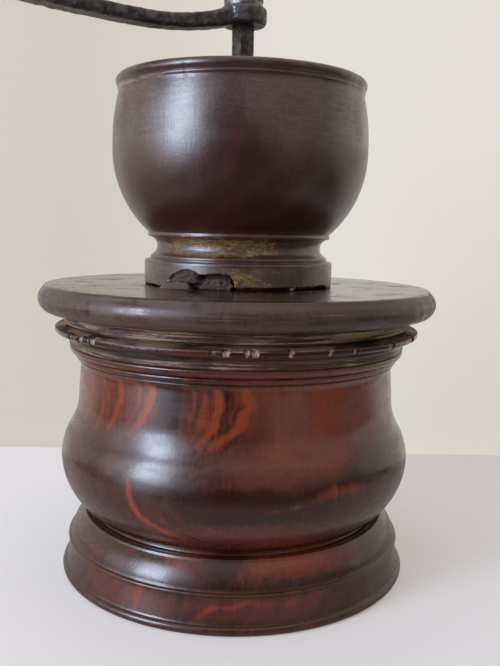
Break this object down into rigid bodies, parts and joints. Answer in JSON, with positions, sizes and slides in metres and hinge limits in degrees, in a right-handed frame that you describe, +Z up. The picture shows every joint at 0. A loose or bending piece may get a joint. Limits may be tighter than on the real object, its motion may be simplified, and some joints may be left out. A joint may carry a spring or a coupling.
{
  "type": "hand cranked coffee mill",
  "caption": "Turned hardwood coffee mill: bellied receiver on a moulded foot, wide moulded head, open bean bowl, and a forged iron crank on a square shaft.",
  "frame": {"origin": "middle of the foot's underside, on the table", "axes": "+Z up along the shaft; the crank arm points along -X at rest; the straps across the throat and under the burrs lie along Y and X"},
  "size_m": [0.1958, 0.1398, 0.2324],
  "materials": {
    "barrel_wood": "dark oiled and waxed reddish hardwood, satin, worn",
    "head_wood": "dark oiled and waxed hardwood, satin, edges chipped",
    "bowl_wood": "dark purple brown hardwood, waxed, fine cracks at the rim",
    "knob_wood": "dark turned hardwood, rubbed smooth",
    "forged_iron": "forged iron, blackened, pitted, with traces of rust",
    "burr_iron": "cast iron, teeth rubbed brighter",
    "steel_fastener": "old steel, darkened",
    "brass_bush": "worn brass, tarnished"
  },
  "bodies": {
    "receiver": {"receiver_barrel": "barrel_wood"},
    "head": {"mill_head": "head_wood", "hopper_bowl": "bowl_wood", "upper_bridge": "forged_iron", "upper_bridge_screws": "steel_fastener", "upper_bush": "brass_bush", "outer_burr": "burr_iron", "outer_burr_screws": "steel_fastener", "lower_bridge": "forged_iron", "lower_bridge_bolts": "steel_fastener"},
    "bearing_cup": {"thrust_cup": "brass_bush"},
    "adjuster": {"adjusting_screw": "forged_iron"},
    "drive": {"main_shaft": "forged_iron", "inner_burr": "burr_iron", "burr_pin": "steel_fastener", "crank_arm": "forged_iron", "crank_washer": "steel_fastener", "crank_nut": "forged_iron", "knob_spindle": "steel_fastener", "knob_washer": "steel_fastener"},
    "knob": {"handle_knob": "knob_wood"}
  },
  "joints": [
    {"name": "head_lift", "type": "slide", "parent": "receiver", "child": "head", "axis": [0, 0, 1], "range_m": [0, 0.012]},
    {"name": "grind_set", "type": "slide", "parent": "head", "child": "bearing_cup", "axis": [0, 0, 1], "range_m": [-0.0015, 0]},
    {"name": "adjuster_turn", "type": "hinge", "parent": "bearing_cup", "child": "adjuster", "pos_m": [0, 0, 0.06], "axis": [0, 0, 1], "range_deg": [-432, 0]},
    {"name": "crank_turn", "type": "hinge", "parent": "bearing_cup", "child": "drive", "pos_m": [0, 0, 0.1], "axis": [0, 0, 1], "continuous": true},
    {"name": "knob_spin", "type": "hinge", "parent": "drive", "child": "knob", "pos_m": [-0.112, 0, 0.21], "axis": [0, 0, 1], "continuous": true}
  ],
  "couplings": [
    {"joint": "adjuster_turn", "follows": "grind_set", "rad_per_m": 5026.5}
  ]
}
